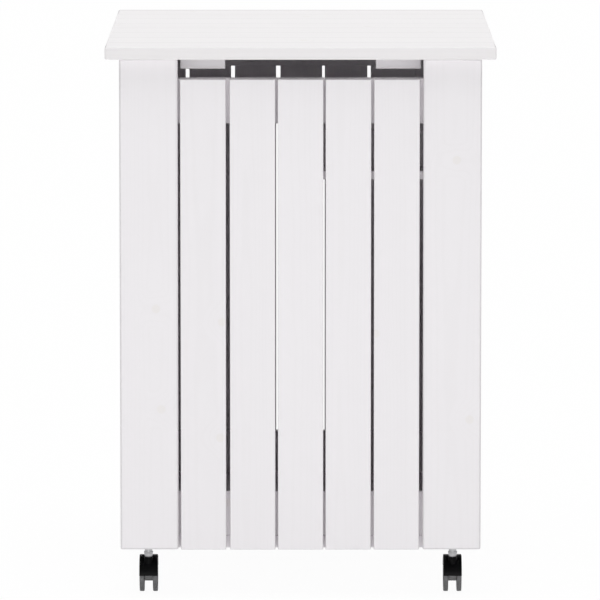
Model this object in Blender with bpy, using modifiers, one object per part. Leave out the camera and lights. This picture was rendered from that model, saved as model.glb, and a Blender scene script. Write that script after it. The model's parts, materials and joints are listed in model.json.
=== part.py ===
"""Rolling pantry cart: a slatted, painted pine cabinet on four twin-wheel casters.

Metres, +Z up. The origin is on the floor under the middle of the cart. The end with the
grip gap faces -Y, the drawer and the door are on the +X side, and the casters trail to +Y.
"""

import math

import bmesh
import bpy
from mathutils import Matrix, Vector

# Tabletop and cabinet
TOP_WIDTH = 0.5612  # along X
TOP_DEPTH = 0.700  # along Y
TOP_THICKNESS = 0.018
TOP_PLANKS = 8  # side by side from front to rear, each running along X
PLANK_GROOVE_WIDTH = 0.002  # V groove where two planks meet
OVERHANG = 0.020  # the tabletop past the cabinet, all round
CABINET_HEIGHT = 0.713  # underside of the posts to underside of the tabletop
BOARD = 0.018  # thickness of the posts, slats, rails, battens and bottom
ARRIS = 0.002  # broken edge of every board
POST_WIDTH = 0.084  # each leg of an L-shaped corner post
REAR_SLATS = 5
SIDE_SLATS = 6
SLAT_GAP = 0.0042
FRONT_GAPS = (0.0036, 0.0057, 0.0037, 0.0034, 0.0043, 0.0053)  # beside the front slats, left to right
RAIL_HEIGHT = 0.065
GRIP_GAP = 0.030  # hand gap under the tabletop, above the drawer and above the door
CLEAT_WIDTH = 0.065
CLEAT_SPREAD = 0.2822  # between the middles of the two tabletop cleats
CLEAT_END_GAP = 0.0064  # from a cleat's end to the rail it points at
CLEARANCE = 0.0003  # between pieces that touch

# Drawer and its shelf
DRAWER_FRONT_HEIGHT = 0.070
DRAWER_FRONT_GAP = 0.002  # round the drawer front
DRAWER_BOX_INSET = 0.005  # drawer box inside the opening between the posts
DRAWER_BOX_DEPTH = 0.230
DRAWER_BOX_HEIGHT = 0.055
DRAWER_BOARD = 0.012
DRAWER_PANEL = 0.006
DRAWER_PANEL_RISE = 0.003  # drawer bottom above the lower edge of the drawer sides
SHELF_THICKNESS = 0.012
SHELF_DEPTH = 0.242
GROOVE_DEPTH = 0.003  # shallow channel in the shelf that the drawer runs in
GROOVE_PLAY = 0.0006

# Door and its pivots
DOOR_BATTEN_HEIGHT = 0.065
DOOR_BATTEN_INSET = 0.021  # batten ends inside the door opening
DOOR_BATTEN_FOOT = 0.016  # lower batten above the bottom board
DOOR_BATTEN_HEAD = 0.018  # upper batten below the top of the door
PIVOT_INSET = 0.012  # pivot axis from the door's edge
PIN_RADIUS = 0.0024
PIN_LENGTH = 0.012
PLATE_THICKNESS = 0.002
PLATE_WIDTH = 0.012
PLATE_REACH = 0.044  # lower pivot plate under the post
PLATE_END = 0.008  # plates past the pivot axis
BRACKET_HEIGHT = 0.026  # upright leaf of the upper pivot bracket
SWING_GAP = 0.0007  # between the turning door edge and the notch in the bottom board

# Casters
CASTER_INSET = 0.0395  # stem axis from the cabinet's faces
TRAIL = 0.016  # axle behind the stem axis
WHEEL_RADIUS = 0.02525
WHEEL_THICKNESS = 0.0069
WHEEL_ROUNDING = 0.0015
WHEEL_DISH_RADIUS = 0.019
WHEEL_DISH = 0.001
WHEEL_TO_CORE = 0.0003
CORE_WIDTH = 0.0119  # housing between the two wheels
CORE_RADIUS = 0.010
AXLE_RADIUS = 0.003
HOOD_TO_WHEEL = 0.001
HOOD_WALL = 0.0025
HOOD_PAST_WHEEL = 0.0002  # side of the hood past a wheel's outer face
HOOD_REAR_ANGLE = math.radians(20)
HOOD_FRONT_ANGLE = math.radians(177)
BOSS_RADIUS = 0.0065
BOSS_DROP = 0.0005  # top of the stem boss below the crown of the hood
STEM_RADIUS = 0.004
STEM_IN_HOOD = 0.021
STEM_IN_BOARD = 0.016
SEAT_RADIUS = 0.0062
SEAT_FOOT_RADIUS = 0.0046
SEAT_CURVE = 0.003
SEAT_HEIGHT = 0.0055
HEX_FLATS = 0.013
HEX_HEIGHT = 0.0025
COLLAR_RADIUS = 0.0055
COLLAR_HEIGHT = 0.0079
STEM_CHAMFER = 0.0008

ROUND_STEPS = 28
SMALL_STEPS = 16
WELD = 0.00001  # points closer than this are one

# Levels and faces worked out from the sizes above
CABINET_X = TOP_WIDTH / 2 - OVERHANG
CABINET_Y = TOP_DEPTH / 2 - OVERHANG
INNER_X = CABINET_X - BOARD
INNER_Y = CABINET_Y - BOARD
OPENING_X = CABINET_X - POST_WIDTH
OPENING_Y = CABINET_Y - POST_WIDTH
RAIL_X = INNER_X - CLEARANCE
RAIL_Y = INNER_Y - CLEARANCE
RAIL_BACK_X = RAIL_X - BOARD
RAIL_BACK_Y = RAIL_Y - BOARD

HOOD_RADIUS = WHEEL_RADIUS + HOOD_TO_WHEEL + HOOD_WALL
BOSS_TOP = WHEEL_RADIUS + HOOD_RADIUS - BOSS_DROP
SEAT_FOOT = BOSS_TOP + CLEARANCE
HEX_FOOT = SEAT_FOOT + SEAT_HEIGHT
COLLAR_FOOT = HEX_FOOT + HEX_HEIGHT
COLLAR_TOP = COLLAR_FOOT + COLLAR_HEIGHT
CABINET_FOOT = COLLAR_TOP + CLEARANCE
BOTTOM_TOP = CABINET_FOOT + BOARD
TOP_UNDERSIDE = CABINET_FOOT + CABINET_HEIGHT
CABINET_TOP = TOP_UNDERSIDE - CLEARANCE
TOTAL_HEIGHT = TOP_UNDERSIDE + TOP_THICKNESS

FRONT_SLAT_TOP = TOP_UNDERSIDE - GRIP_GAP
TOP_RAIL_FOOT = TOP_UNDERSIDE - RAIL_HEIGHT
DRAWER_TOP = TOP_RAIL_FOOT - GRIP_GAP
DRAWER_FRONT_FOOT = DRAWER_TOP - DRAWER_FRONT_HEIGHT
RUNNER_TOP = DRAWER_FRONT_FOOT - DRAWER_FRONT_GAP
SHELF_TOP = RUNNER_TOP + GROOVE_DEPTH
MID_RAIL_FOOT = RUNNER_TOP - RAIL_HEIGHT
DOOR_TOP = MID_RAIL_FOOT - GRIP_GAP

DOOR_HALF = OPENING_Y - SLAT_GAP
PIVOT_X = CABINET_X - BOARD / 2
PIVOT_Y = DOOR_HALF - PIVOT_INSET
DOOR_SWING = math.hypot(BOARD / 2, PIVOT_INSET)
NOTCH_RADIUS = DOOR_SWING + SWING_GAP

PINE_WHITE = (0.83, 0.82, 0.83)
ZINC = (0.62, 0.62, 0.63)
BLACK = (0.012, 0.012, 0.013)
DARK_GREY = (0.1, 0.1, 0.103)


def make_collection(name):
    collection = bpy.data.collections.new(name)
    bpy.context.scene.collection.children.link(collection)
    return collection


for leftover in list(bpy.data.objects):
    bpy.data.objects.remove(leftover)
PARTS = make_collection("rolling_pantry_cart")
CUTTERS = make_collection("cutters")
CUTTERS.hide_render = True


def world_origin(thing):
    """Where an object's origin lies, given that no parent is turned."""
    place = thing.location.copy()
    while thing.parent:
        thing = thing.parent
        place += thing.location
    return place


def joint_empty(name, place, parent=None):
    """An empty on a joint's axis, which carries the pieces that move together."""
    empty = bpy.data.objects.new(name, None)
    PARTS.objects.link(empty)
    empty.parent = parent
    empty.location = Vector(place) - (world_origin(parent) if parent else Vector())
    return empty


def add_part(name, mesh, place, parent, finish):
    """A piece with its own material, placed in the world and hung on its parent."""
    piece = bpy.data.objects.new(name, mesh)
    PARTS.objects.link(piece)
    piece.parent = parent
    piece.location = Vector(place) - world_origin(parent)
    colour, roughness, metallic = finish
    material = bpy.data.materials.new(name + "_finish")
    material.use_nodes = True
    shader = material.node_tree.nodes["Principled BSDF"]
    shader.inputs["Base Color"].default_value = (*colour, 1)
    shader.inputs["Roughness"].default_value = roughness
    shader.inputs["Metallic"].default_value = metallic
    piece.data.materials.clear()
    piece.data.materials.append(material)
    return piece


PAINT = (PINE_WHITE, 0.5, 0.0)
STEEL = (ZINC, 0.3, 1.0)
HOOD_PLASTIC = (BLACK, 0.35, 0.0)
WHEEL_PLASTIC = (DARK_GREY, 0.5, 0.0)


def box_mesh(name, size):
    shape = bmesh.new()
    bmesh.ops.create_cube(shape, size=1.0)
    bmesh.ops.scale(shape, vec=size, verts=shape.verts)
    mesh = bpy.data.meshes.new(name)
    shape.to_mesh(mesh)
    shape.free()
    return mesh


def cylinder_mesh(name, radius, length, steps, turn=Matrix()):
    """A closed cylinder along Z, centred on the origin, then turned."""
    shape = bmesh.new()
    bmesh.ops.create_cone(
        shape, cap_ends=True, segments=steps, radius1=radius, radius2=radius, depth=length, matrix=turn
    )
    mesh = bpy.data.meshes.new(name)
    shape.to_mesh(mesh)
    shape.free()
    return mesh


def cutter(name, mesh, place=(0, 0, 0)):
    """A helper solid that cuts or joins, and isn't a piece of the cart."""
    helper = bpy.data.objects.new(name, mesh)
    CUTTERS.objects.link(helper)
    helper.location = place
    helper.hide_render = True
    helper.display_type = "WIRE"
    return helper


def combine(piece, helper, operation):
    """Cuts the helper out of the piece, or joins it on."""
    boolean = piece.modifiers.new(helper.name, "BOOLEAN")
    boolean.object = helper
    boolean.operation = operation
    boolean.solver = "EXACT"


def break_edges(piece):
    bevel = piece.modifiers.new("arris", "BEVEL")
    bevel.width = ARRIS
    bevel.segments = 1
    bevel.limit_method = "ANGLE"


def board(name, low, high, parent, finish=PAINT):
    """A board between two corners, with its edges broken."""
    low = Vector(low)
    high = Vector(high)
    piece = add_part(name, box_mesh(name, high - low), (low + high) / 2, parent, finish)
    break_edges(piece)
    return piece


def finished_mesh(name, piece):
    """The piece's shape with its modifiers applied, as a mesh of its own."""
    bpy.context.view_layer.update()
    mesh = bpy.data.meshes.new_from_object(piece.evaluated_get(bpy.context.evaluated_depsgraph_get()))
    mesh.name = name
    shape = bmesh.new()
    shape.from_mesh(mesh)
    bmesh.ops.remove_doubles(shape, verts=shape.verts, dist=WELD)
    shape.to_mesh(mesh)
    shape.free()
    return mesh


def round_shading(mesh):
    mesh.shade_smooth()
    mesh.set_sharp_from_angle(angle=math.radians(35))


def turned_mesh(name, profile, steps):
    """A closed shape of radius and height pairs, listed from the top down, turned about Z."""
    mesh = bpy.data.meshes.new(name + "_profile")
    corners = [(radius, 0, height) for radius, height in profile]
    mesh.from_pydata(corners, [(i, i + 1) for i in range(len(corners) - 1)], [])
    lathe = cutter(name + "_lathe", mesh)
    screw = lathe.modifiers.new("turn", "SCREW")
    screw.steps = steps
    screw.render_steps = steps
    screw.use_merge_vertices = True
    screw.merge_threshold = WELD
    turned = finished_mesh(name, lathe)
    bpy.data.objects.remove(lathe)
    return turned


def outlined_mesh(name, outline, width):
    """A closed shape of one outline of Y and Z pairs, as thick along X as the width says."""
    drawing = bpy.data.curves.new(name + "_outline", "CURVE")
    drawing.dimensions = "2D"
    drawing.fill_mode = "BOTH"
    drawing.extrude = width / 2
    spline = drawing.splines.new("POLY")
    spline.points.add(len(outline) - 1)
    spline.use_cyclic_u = True
    for point, (across, up) in zip(spline.points, outline):
        point.co = (across, up, 0, 1)
    drawn = cutter(name + "_outline", drawing)
    mesh = finished_mesh(name, drawn)
    bpy.data.objects.remove(drawn)
    mesh.transform(Matrix.Rotation(math.pi / 2, 4, "Z") @ Matrix.Rotation(math.pi / 2, 4, "X"))
    return mesh


def even_gaps(slats):
    return (SLAT_GAP,) * (slats + 1)


def slat_spans(low, high, gaps):
    """The two edges of each slat in an opening. The slats are of one width, with a gap beside every slat."""
    count = len(gaps) - 1
    width = (high - low - sum(gaps)) / count
    starts = [low + sum(gaps[: i + 1]) + i * width for i in range(count)]
    return [(start, start + width) for start in starts]


def make_top(carcass):
    """The tabletop of glued planks with a V groove along each joint, and its two cleats."""
    half = (TOP_WIDTH / 2, TOP_DEPTH / 2)
    top = board("tabletop", (-half[0], -half[1], TOP_UNDERSIDE), (half[0], half[1], TOTAL_HEIGHT), carcass)
    side = PLANK_GROOVE_WIDTH / math.sqrt(2)
    for joint in range(1, TOP_PLANKS):
        groove = box_mesh("plank_groove", (2 * TOP_WIDTH, side, side))
        groove.transform(Matrix.Rotation(math.pi / 4, 4, "X"))
        joint_y = -half[1] + TOP_DEPTH * joint / TOP_PLANKS
        combine(top, cutter(f"plank_groove_{joint}", groove, (0, joint_y, TOTAL_HEIGHT)), "DIFFERENCE")
    reach = RAIL_BACK_Y - CLEAT_END_GAP
    for name, sign in (("left", -1), ("right", 1)):
        middle = sign * CLEAT_SPREAD / 2
        low = (middle - CLEAT_WIDTH / 2, -reach, CABINET_TOP - BOARD)
        high = (middle + CLEAT_WIDTH / 2, reach, CABINET_TOP)
        board("tabletop_cleat_" + name, low, high, carcass)


def make_posts(carcass):
    """Four L-shaped corner posts, each a square blank with its inner corner cut away."""
    middle_z = (CABINET_FOOT + CABINET_TOP) / 2
    height = CABINET_TOP - CABINET_FOOT
    for end, sign_y in (("front", -1), ("rear", 1)):
        for side, sign_x in (("left", -1), ("right", 1)):
            name = "corner_post_" + end + "_" + side
            middle = (sign_x * (CABINET_X - POST_WIDTH / 2), sign_y * (CABINET_Y - POST_WIDTH / 2), middle_z)
            post = add_part(name, box_mesh(name, (POST_WIDTH, POST_WIDTH, height)), middle, carcass, PAINT)
            inside = (middle[0] - sign_x * BOARD, middle[1] - sign_y * BOARD, middle_z)
            hollow = box_mesh(name + "_hollow", (POST_WIDTH, POST_WIDTH, 2 * height))
            combine(post, cutter(name + "_hollow", hollow, inside), "DIFFERENCE")
            break_edges(post)


def make_ends(carcass):
    """The two slatted ends, with a top and a bottom rail behind the slats of each."""
    ends = (("front", -1, FRONT_SLAT_TOP, FRONT_GAPS), ("rear", 1, CABINET_TOP, even_gaps(REAR_SLATS)))
    for end, sign, slat_top, gaps in ends:
        outer, inner = sorted((sign * CABINET_Y, sign * INNER_Y))
        for number, (left, right) in enumerate(slat_spans(-OPENING_X, OPENING_X, gaps), 1):
            name = f"{end}_slat_{number}"
            board(name, (left, outer, CABINET_FOOT), (right, inner, slat_top), carcass)
        near, far = sorted((sign * RAIL_Y, sign * RAIL_BACK_Y))
        rail_foot = min(slat_top, TOP_UNDERSIDE) - RAIL_HEIGHT
        board(end + "_top_rail", (-RAIL_X, near, rail_foot), (RAIL_X, far, slat_top), carcass)
        foot = BOTTOM_TOP + CLEARANCE
        board(end + "_bottom_rail", (-RAIL_X, near, foot), (RAIL_X, far, BOTTOM_TOP + RAIL_HEIGHT), carcass)


def make_side(carcass):
    """The closed long side, slatted from top to bottom."""
    for number, (near, far) in enumerate(slat_spans(-OPENING_Y, OPENING_Y, even_gaps(SIDE_SLATS)), 1):
        name = f"side_slat_{number}"
        board(name, (-CABINET_X, near, CABINET_FOOT), (-INNER_X, far, CABINET_TOP), carcass)
    reach = RAIL_BACK_Y - CLEARANCE
    bottom_levels = ("bottom", BOTTOM_TOP + CLEARANCE, BOTTOM_TOP + RAIL_HEIGHT)
    for level, low, high in (("top", TOP_RAIL_FOOT, CABINET_TOP), bottom_levels):
        board(f"side_{level}_rail", (-RAIL_X, -reach, low), (-RAIL_BACK_X, reach, high), carcass)


def make_door_side_frame(carcass):
    """The rails over the drawer and between the drawer and the door, level with the posts."""
    reach = OPENING_Y - CLEARANCE
    levels = (("top", TOP_RAIL_FOOT, CABINET_TOP), ("mid", MID_RAIL_FOOT, RUNNER_TOP))
    for level, low, high in levels:
        board(f"door_side_{level}_rail", (INNER_X, -reach, low), (CABINET_X, reach, high), carcass)


def make_bottom(carcass):
    """The bottom board, notched where the door's hinge edge turns, and bored for the caster stems."""
    low = (-RAIL_X, -RAIL_Y, CABINET_FOOT)
    bottom = board("bottom_board", low, (RAIL_X, RAIL_Y, BOTTOM_TOP), carcass)
    notch = box_mesh("door_notch", (2 * NOTCH_RADIUS, INNER_Y + NOTCH_RADIUS - PIVOT_Y, 4 * BOARD))
    notch_middle = (PIVOT_X, (INNER_Y + PIVOT_Y - NOTCH_RADIUS) / 2, BOTTOM_TOP)
    combine(bottom, cutter("door_notch", notch, notch_middle), "DIFFERENCE")
    for name, place in caster_places():
        hole = cylinder_mesh("stem_hole", STEM_RADIUS + CLEARANCE, 4 * BOARD, SMALL_STEPS)
        helper = cutter("stem_hole_" + name, hole, (place.x, place.y, BOTTOM_TOP))
        combine(bottom, helper, "DIFFERENCE")


def make_shelf(carcass):
    """The shelf that carries the drawer, with a shallow groove that the drawer runs in."""
    low = (RAIL_X - SHELF_DEPTH, -RAIL_Y, SHELF_TOP - SHELF_THICKNESS)
    shelf = board("drawer_shelf", low, (RAIL_X, RAIL_Y, SHELF_TOP), carcass)
    width = 2 * (OPENING_Y - DRAWER_BOX_INSET + GROOVE_PLAY)
    groove = box_mesh("drawer_groove", (4 * SHELF_DEPTH, width, 2 * GROOVE_DEPTH))
    combine(shelf, cutter("drawer_groove", groove, (0, 0, SHELF_TOP)), "DIFFERENCE")


def make_drawer(drawer):
    half_front = OPENING_Y - DRAWER_FRONT_GAP
    low = (INNER_X, -half_front, DRAWER_FRONT_FOOT)
    board("drawer_front", low, (CABINET_X, half_front, DRAWER_TOP), drawer)
    half_box = OPENING_Y - DRAWER_BOX_INSET
    back = RAIL_X - DRAWER_BOX_DEPTH
    foot = RUNNER_TOP + CLEARANCE
    top = foot + DRAWER_BOX_HEIGHT
    for end, sign in (("front", -1), ("rear", 1)):
        near, far = sorted((sign * half_box, sign * (half_box - DRAWER_BOARD)))
        board("drawer_side_" + end, (back, near, foot), (RAIL_X, far, top), drawer)
    inside = half_box - DRAWER_BOARD - CLEARANCE
    board("drawer_back", (back, -inside, foot), (back + DRAWER_BOARD, inside, top), drawer)
    low = (back + DRAWER_BOARD + CLEARANCE, -inside, foot + DRAWER_PANEL_RISE)
    board("drawer_bottom", low, (RAIL_X, inside, foot + DRAWER_PANEL_RISE + DRAWER_PANEL), drawer)


def make_door(door):
    """Six slats on two battens. The slat on the hinge side is bored for the pivot pins."""
    for number, (near, far) in enumerate(slat_spans(-OPENING_Y, OPENING_Y, even_gaps(SIDE_SLATS)), 1):
        name = f"door_slat_{number}"
        slat = board(name, (INNER_X, near, CABINET_FOOT), (CABINET_X, far, DOOR_TOP), door)
    depth = 2 * (PIN_LENGTH + CLEARANCE)
    for end, level in (("lower", CABINET_FOOT), ("upper", DOOR_TOP)):
        bore = cylinder_mesh("pin_bore", PIN_RADIUS + CLEARANCE, depth, SMALL_STEPS)
        combine(slat, cutter("pin_bore_" + end, bore, (PIVOT_X, PIVOT_Y, level)), "DIFFERENCE")
    half = OPENING_Y - DOOR_BATTEN_INSET
    lower_foot = BOTTOM_TOP + DOOR_BATTEN_FOOT
    upper_foot = DOOR_TOP - DOOR_BATTEN_HEAD - DOOR_BATTEN_HEIGHT
    for level, foot in (("lower", lower_foot), ("upper", upper_foot)):
        low = (RAIL_BACK_X, -half, foot)
        board("door_batten_" + level, low, (RAIL_X, half, foot + DOOR_BATTEN_HEIGHT), door)


def make_door_fittings(carcass):
    """The two steel pivots on the rear right post: a plate under it and a bracket above the door."""
    near_x = PIVOT_X - PLATE_WIDTH / 2
    far_x = PIVOT_X + PLATE_WIDTH / 2
    near_y = PIVOT_Y - PLATE_END
    pin_half = (PIN_LENGTH + PLATE_THICKNESS / 2) / 2

    plate_top = CABINET_FOOT - CLEARANCE
    low = Vector((near_x, near_y, plate_top - PLATE_THICKNESS))
    high = Vector((far_x, OPENING_Y + PLATE_REACH, plate_top))
    plate = box_mesh("door_hinge_lower", high - low)
    lower = add_part("door_hinge_lower", plate, (low + high) / 2, carcass, STEEL)
    pin = cylinder_mesh("lower_pin", PIN_RADIUS, 2 * pin_half, SMALL_STEPS)
    level = plate_top - PLATE_THICKNESS / 2 + pin_half
    combine(lower, cutter("lower_pin", pin, (PIVOT_X, PIVOT_Y, level)), "UNION")

    foot = DOOR_TOP + CLEARANCE
    leg = OPENING_Y - CLEARANCE - near_y
    inner_corner = (leg - PLATE_THICKNESS, PLATE_THICKNESS)
    outline = [(0, 0), (leg, 0), (leg, BRACKET_HEIGHT), (inner_corner[0], BRACKET_HEIGHT)]
    outline += [inner_corner, (0, PLATE_THICKNESS)]
    bracket = outlined_mesh("door_hinge_upper", outline, PLATE_WIDTH)
    upper = add_part("door_hinge_upper", bracket, (PIVOT_X, near_y, foot), carcass, STEEL)
    pin = cylinder_mesh("upper_pin", PIN_RADIUS, 2 * pin_half, SMALL_STEPS)
    level = foot + PLATE_THICKNESS / 2 - pin_half
    combine(upper, cutter("upper_pin", pin, (PIVOT_X, PIVOT_Y, level)), "UNION")


def caster_places():
    """Each caster's name and the point on the floor under its stem."""
    stem_x = CABINET_X - CASTER_INSET
    stem_y = CABINET_Y - CASTER_INSET
    for end, sign_y in (("front", -1), ("rear", 1)):
        for side, sign_x in (("left", -1), ("right", 1)):
            yield end + "_" + side, Vector((sign_x * stem_x, sign_y * stem_y, 0))


def stem_mesh():
    """A threaded stem with a collar, a hexagon and a rounded seat, turned about Z."""
    tip = CABINET_FOOT + STEM_IN_BOARD
    end = BOSS_TOP - STEM_IN_HOOD
    narrow = STEM_RADIUS - STEM_CHAMFER
    hex_middle = HEX_FOOT + HEX_HEIGHT / 2
    profile = [(0, tip), (narrow, tip), (STEM_RADIUS, tip - STEM_CHAMFER), (STEM_RADIUS, COLLAR_TOP)]
    profile += [(COLLAR_RADIUS, COLLAR_TOP), (COLLAR_RADIUS, hex_middle), (SEAT_RADIUS, hex_middle)]
    for i in range(5):
        angle = i * math.pi / 8
        radius = SEAT_FOOT_RADIUS + (SEAT_RADIUS - SEAT_FOOT_RADIUS) * math.cos(angle)
        profile.append((radius, SEAT_FOOT + SEAT_CURVE * (1 - math.sin(angle))))
    profile += [(STEM_RADIUS, SEAT_FOOT), (STEM_RADIUS, end + STEM_CHAMFER), (narrow, end), (0, end)]
    stem = cutter("stem_blank", turned_mesh("stem_turned", profile, SMALL_STEPS))
    corner_radius = HEX_FLATS / math.sqrt(3)
    hexagon = cylinder_mesh("hexagon", corner_radius, HEX_HEIGHT, 6)
    combine(stem, cutter("stem_hexagon", hexagon, (0, 0, hex_middle)), "UNION")
    return finished_mesh("stem", stem)


def make_stems(carcass):
    stem = stem_mesh()
    round_shading(stem)
    for name, place in caster_places():
        add_part("caster_stem_" + name, stem.copy(), place, carcass, STEEL)


def hood_mesh():
    """The hood over one pair of wheels. Its origin is on the stem axis, at the axle's height."""
    to_axle = Matrix.Translation((0, TRAIL, 0))
    along_x = Matrix.Rotation(math.pi / 2, 4, "Y")
    core_half = CORE_WIDTH / 2
    half_width = core_half + WHEEL_TO_CORE + WHEEL_THICKNESS + HOOD_PAST_WHEEL
    steps = ROUND_STEPS // 2

    outline = [(0, 0)]
    for i in range(steps + 1):
        angle = HOOD_REAR_ANGLE + (HOOD_FRONT_ANGLE - HOOD_REAR_ANGLE) * i / steps
        outline.append((HOOD_RADIUS * math.cos(angle), HOOD_RADIUS * math.sin(angle)))
    blank = outlined_mesh("hood_blank", outline, 2 * half_width)
    blank.transform(to_axle)
    hood = cutter("hood_blank", blank)

    core = cylinder_mesh("core", CORE_RADIUS, CORE_WIDTH + 2 * WHEEL_TO_CORE, ROUND_STEPS, to_axle @ along_x)
    combine(hood, cutter("core", core), "UNION")
    boss_height = BOSS_TOP - WHEEL_RADIUS
    boss = cylinder_mesh("boss", BOSS_RADIUS, boss_height, SMALL_STEPS)
    combine(hood, cutter("boss", boss, (0, 0, boss_height / 2)), "UNION")
    for side, sign in (("left", -1), ("right", 1)):
        middle = sign * (core_half + half_width)
        place = Matrix.Translation((middle, TRAIL, 0)) @ along_x
        room = cylinder_mesh("room", WHEEL_RADIUS + HOOD_TO_WHEEL, 2 * half_width, ROUND_STEPS, place)
        combine(hood, cutter("wheel_room_" + side, room), "DIFFERENCE")
    axle_hole = cylinder_mesh("hole", AXLE_RADIUS + CLEARANCE, 4 * CORE_WIDTH, SMALL_STEPS, to_axle @ along_x)
    combine(hood, cutter("axle_hole", axle_hole), "DIFFERENCE")
    depth = STEM_IN_HOOD + CLEARANCE
    socket = cylinder_mesh("socket", STEM_RADIUS + CLEARANCE, 2 * depth, SMALL_STEPS)
    combine(hood, cutter("stem_socket", socket, (0, 0, boss_height)), "DIFFERENCE")
    mesh = finished_mesh("hood", hood)
    round_shading(mesh)
    return mesh


def wheels_mesh():
    """Two wheels fast on one axle, turned about Z with the middle of the axle at the origin."""
    inner = CORE_WIDTH / 2 + WHEEL_TO_CORE
    outer = inner + WHEEL_THICKNESS
    shoulder = WHEEL_RADIUS - WHEEL_ROUNDING
    dish_rim = WHEEL_DISH_RADIUS + WHEEL_DISH
    upper = [(0, outer - WHEEL_DISH), (WHEEL_DISH_RADIUS, outer - WHEEL_DISH), (dish_rim, outer)]
    upper += [(shoulder, outer), (WHEEL_RADIUS, outer - WHEEL_ROUNDING)]
    upper += [(WHEEL_RADIUS, inner + WHEEL_ROUNDING), (shoulder, inner), (AXLE_RADIUS, inner)]
    lower = [(radius, -height) for radius, height in reversed(upper)]
    mesh = turned_mesh("wheels", upper + lower, ROUND_STEPS)
    mesh.transform(Matrix.Rotation(math.pi / 2, 4, "Y"))
    round_shading(mesh)
    return mesh


def make_casters():
    hood = hood_mesh()
    wheels = wheels_mesh()
    for name, place in caster_places():
        swivel = joint_empty("swivel_" + name, place + Vector((0, 0, WHEEL_RADIUS)))
        add_part("caster_hood_" + name, hood.copy(), world_origin(swivel), swivel, HOOD_PLASTIC)
        axle = world_origin(swivel) + Vector((0, TRAIL, 0))
        add_part("caster_wheels_" + name, wheels.copy(), axle, swivel, WHEEL_PLASTIC)


def main():
    carcass = joint_empty("carcass", (0, 0, 0))
    make_top(carcass)
    make_posts(carcass)
    make_ends(carcass)
    make_side(carcass)
    make_door_side_frame(carcass)
    make_bottom(carcass)
    make_shelf(carcass)
    make_door_fittings(carcass)
    make_stems(carcass)
    make_drawer(joint_empty("drawer", (RAIL_X, 0, RUNNER_TOP)))
    make_door(joint_empty("door", (PIVOT_X, PIVOT_Y, CABINET_FOOT)))
    make_casters()


main()
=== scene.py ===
# %% [markdown]
# # A rolling pantry cart
#
# The cart is a cabinet of white painted pine on four black twin-wheel casters. Its top is glued
# up from eight planks, its ends and one long side are slatted, and the other long side has a
# shallow drawer over a slatted door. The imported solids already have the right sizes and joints.
# This lesson gives them what a camera sees: rounded edges, planks, screws, paint and light.

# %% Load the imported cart
import json
import math
import random

import bmesh
import bpy
from mathutils import Matrix, Vector


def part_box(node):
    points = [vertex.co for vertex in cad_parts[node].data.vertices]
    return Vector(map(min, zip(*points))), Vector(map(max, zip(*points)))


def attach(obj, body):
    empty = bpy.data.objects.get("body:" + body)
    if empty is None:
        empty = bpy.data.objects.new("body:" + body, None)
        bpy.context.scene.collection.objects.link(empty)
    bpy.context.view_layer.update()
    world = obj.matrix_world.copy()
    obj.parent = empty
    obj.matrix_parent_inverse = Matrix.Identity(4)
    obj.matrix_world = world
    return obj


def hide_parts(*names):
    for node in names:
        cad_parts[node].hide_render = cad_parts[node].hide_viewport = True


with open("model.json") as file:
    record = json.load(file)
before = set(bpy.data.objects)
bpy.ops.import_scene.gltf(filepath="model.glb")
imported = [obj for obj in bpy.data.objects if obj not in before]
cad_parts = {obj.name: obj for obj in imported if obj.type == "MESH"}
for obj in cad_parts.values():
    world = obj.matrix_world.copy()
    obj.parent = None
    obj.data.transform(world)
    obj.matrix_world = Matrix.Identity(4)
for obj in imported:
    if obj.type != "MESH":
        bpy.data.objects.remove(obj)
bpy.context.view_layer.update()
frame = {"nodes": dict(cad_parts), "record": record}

record = frame["record"]
body_of = {node: body for body, nodes in record["behaviour"]["bodies"].items() for node in nodes}
slot_of = {part["node"]: part["material_slot"] for part in record["subparts"]}

# %% [markdown]
# ## The camera
#
# The photograph looks square on to one narrow end from far away and a little above. The long
# lens keeps the cart's upright edges almost parallel. A near camera with a wide lens would
# splay them, so the distance and the lens come first, and everything after is judged through them.

# %% Place the camera
CAMERA_PLACE = Vector((-0.0008, -9.281, 1.5425))
CAMERA_PITCH = math.radians(82.942)
LENS_MM, SENSOR_MM = 375.5, 36
CLIP_FAR = 100

camera_data = bpy.data.cameras.new("portrait_lens")
camera_data.lens = LENS_MM
camera_data.sensor_width = SENSOR_MM
camera_data.clip_end = CLIP_FAR
camera = bpy.data.objects.new("portrait_camera", camera_data)
camera.location = CAMERA_PLACE
camera.rotation_euler = (CAMERA_PITCH, 0, 0)
bpy.context.scene.collection.objects.link(camera)
bpy.context.scene.camera = camera
print("camera", round(CAMERA_PLACE.length, 2), "m from the cart's foot, lens", LENS_MM, "mm")

# %% [markdown]
# ## Shader maths that reads like maths
#
# A finish on this cart is a sum of small effects: fibres, growth rings, knots, brush marks. Wired
# by hand that is a web of Math nodes. A small class that wraps a socket and overloads the
# operators lets each effect be written as a formula, and the formula adds the nodes.

# %% A socket that can be used in a sum
class Wire:
    """An output socket of a finish, used in sums and products like a number."""

    def __init__(self, finish, socket):
        self.finish = finish
        self.socket = socket

    def __add__(self, other):
        return self.finish.maths("ADD", self, other)

    def __sub__(self, other):
        return self.finish.maths("SUBTRACT", self, other)

    def __rsub__(self, other):
        return self.finish.maths("SUBTRACT", other, self)

    def __mul__(self, other):
        return self.finish.maths("MULTIPLY", self, other)

    __radd__ = __add__
    __rmul__ = __mul__


print("a wire can be added, subtracted and multiplied")

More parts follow.
